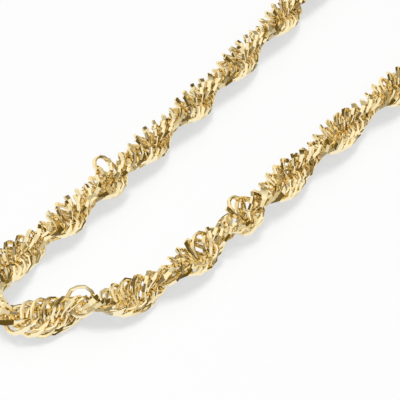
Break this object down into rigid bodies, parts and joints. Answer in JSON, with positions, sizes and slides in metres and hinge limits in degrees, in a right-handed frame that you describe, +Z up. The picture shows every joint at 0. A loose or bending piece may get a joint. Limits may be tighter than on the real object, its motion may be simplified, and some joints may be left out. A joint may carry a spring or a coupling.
{
  "type": "twisted chain necklace",
  "caption": "Gold neck chain of fine interlinked curb links twisted into a ribbon, laid as a closed loop with a plain ring clasp",
  "frame": {"origin": "on the surface that the necklace lies on, under the middle of its bounding box", "axes": "+X across the loop, +Y from the tight bend to the clasp, +Z up from the surface"},
  "size_m": [0.0675, 0.2071, 0.0029],
  "materials": {
    "chain_gold": "polished, diamond cut",
    "plain_gold": "polished"
  },
  "bodies": {
    "root": {"chain": "chain_gold", "left_ring": "plain_gold", "clasp": "plain_gold", "right_ring": "plain_gold"}
  },
  "joints": []
}
